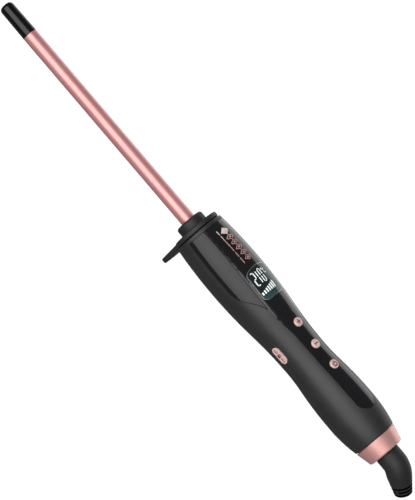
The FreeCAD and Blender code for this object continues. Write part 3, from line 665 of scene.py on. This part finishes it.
# ---------------------------------------------------------------- the printed ornament

# Middle and underline are across the wand from its middle line, the rest is along it towards the tip.
ORNAMENT_MIDDLE = 0.8
ORNAMENT_FRONT = -7.4
ORNAMENT_BACK = -31.0

HEAD_AT = ORNAMENT_FRONT - 2.5
HEAD_HALF_WIDTH = 3.4
HEAD_HALF_LENGTH = 2.4

LINKS = 5
LINK_PITCH = 3.75
LAST_LINK_AT = ORNAMENT_BACK + 1.7
LINK_HALF_WIDTH = 3.0
LINK_SHRINK = 0.12
LINK_HALF_LENGTH = 1.6
LINK_STROKE = 0.4
CORE_HALF_WIDTH = 1.2
CORE_HALF_LENGTH = 0.7

UNDERLINE_AT = -3.9
UNDERLINE_WIDTH = 0.45
UNDERLINE_DASHES = [(0, 0.12), (0.15, 0.62), (0.65, 0.8), (0.83, 1)]


def lozenge(mark, v, half_width, half_length):
    """A filled lozenge on the ornament's middle line."""
    path = [(ORNAMENT_MIDDLE, v + half_length), (ORNAMENT_MIDDLE, v), (ORNAMENT_MIDDLE, v - half_length)]
    mark.ribbon(path, [POINT_WIDTH, 2 * half_width, POINT_WIDTH], 6)


def lozenge_outline(mark, v, half_width, half_length):
    """Two bent strokes that close a lozenge."""
    for side in (-1, 1):
        corner = (ORNAMENT_MIDDLE + side * half_width, v)
        path = [(ORNAMENT_MIDDLE, v + half_length), corner, (ORNAMENT_MIDDLE, v - half_length)]
        mark.ribbon(path, LINK_STROKE)


def panel_ornament(material):
    """A generic printed ornament: a large lozenge and a shrinking chain of small ones, over a broken line."""
    mark = Mark("panel_ornament", "control_panel", on_panel, -OUT)
    lozenge(mark, HEAD_AT, HEAD_HALF_WIDTH, HEAD_HALF_LENGTH)
    for i in range(LINKS):
        v = LAST_LINK_AT + LINK_PITCH * (LINKS - 1 - i)
        lozenge_outline(mark, v, LINK_HALF_WIDTH - LINK_SHRINK * i, LINK_HALF_LENGTH)
        lozenge(mark, v, CORE_HALF_WIDTH, CORE_HALF_LENGTH)
    length = ORNAMENT_BACK - ORNAMENT_FRONT
    for dash in UNDERLINE_DASHES:
        mark.ribbon([(UNDERLINE_AT, ORNAMENT_FRONT + length * share) for share in dash], UNDERLINE_WIDTH)
    mark.attach("handle", material)


# ---------------------------------------------------------------- symbols on the buttons

# Along the wand towards the tip, but the lock button's place is towards the cord.
PLUS_AT = -75
MINUS_AT = -90.5
POWER_AT = -105.8
SYMBOL_HALF = 1.5
SYMBOL_STROKE = 0.6

POWER_RADIUS = 1.3
POWER_ARC = (130, 410)
POWER_RING_AT = POWER_AT - 0.1
POWER_BAR = (POWER_AT + 0.1, POWER_AT + 1.8)

LOCK_AT = 82.8
PADLOCK_HALF = 1.1
PADLOCK_HEIGHT = 1.5
PADLOCK_MIDDLE = -0.6
SHACKLE_RADIUS = 0.7
SHACKLE_FOOT = 0.15
SHACKLE_TURN = 0.6
SHACKLE_STROKE = 0.4
LOCK_BARS = (2.1, 3.1, 4.1)
LOCK_BAR_HALF = 0.9
LOCK_BAR_STROKE = 0.42


def button_symbols(material):
    """Plus, minus and power signs, upright when the barrel points up."""
    plus = Mark("plus_symbol", "plus_button", on_panel, -OUT)
    plus.ribbon([(-SYMBOL_HALF, PLUS_AT), (SYMBOL_HALF, PLUS_AT)], SYMBOL_STROKE)
    for side in (-1, 1):
        ends = [(0, PLUS_AT + side * SYMBOL_STROKE / 2), (0, PLUS_AT + side * SYMBOL_HALF)]
        plus.ribbon(ends, SYMBOL_STROKE)
    plus.attach("plus_button", material)

    minus = Mark("minus_symbol", "minus_button", on_panel, -OUT)
    minus.ribbon([(-SYMBOL_HALF, MINUS_AT), (SYMBOL_HALF, MINUS_AT)], SYMBOL_STROKE)
    minus.attach("minus_button", material)

    power = Mark("power_symbol", "power_button", on_panel, -OUT)
    power.ribbon(arc((0, POWER_RING_AT), POWER_RADIUS, *POWER_ARC), SYMBOL_STROKE)
    power.ribbon([(0, end) for end in POWER_BAR], SYMBOL_STROKE)
    power.attach("power_button", material)


def lock_symbol(material):
    """A padlock on the lock button, with three bars on each side of it."""
    mark = Mark("lock_symbol", "lock_button", on_lock_side, -ACROSS)
    body = [(LOCK_AT - PADLOCK_HALF, PADLOCK_MIDDLE), (LOCK_AT + PADLOCK_HALF, PADLOCK_MIDDLE)]
    mark.ribbon(body, PADLOCK_HEIGHT, 4)
    front, back = LOCK_AT - SHACKLE_RADIUS, LOCK_AT + SHACKLE_RADIUS
    shackle = [(front, SHACKLE_FOOT), (front, SHACKLE_TURN)]
    shackle += arc((LOCK_AT, SHACKLE_TURN), SHACKLE_RADIUS, 180, 0, 14) + [(back, SHACKLE_FOOT)]
    mark.ribbon(shackle, SHACKLE_STROKE)
    for side in (-1, 1):
        for distance in LOCK_BARS:
            u = LOCK_AT + side * distance
            mark.ribbon([(u, -LOCK_BAR_HALF), (u, LOCK_BAR_HALF)], LOCK_BAR_STROKE)
    mark.attach("lock_button", material)


def make_marks():
    """All six inlays."""
    ink = symbol_print()
    lit_display(lit_segment())
    panel_ornament(rose_print())
    button_symbols(ink)
    lock_symbol(ink)


make_camera()
make_lights()
make_stage()
dress_nodes()
make_marks()
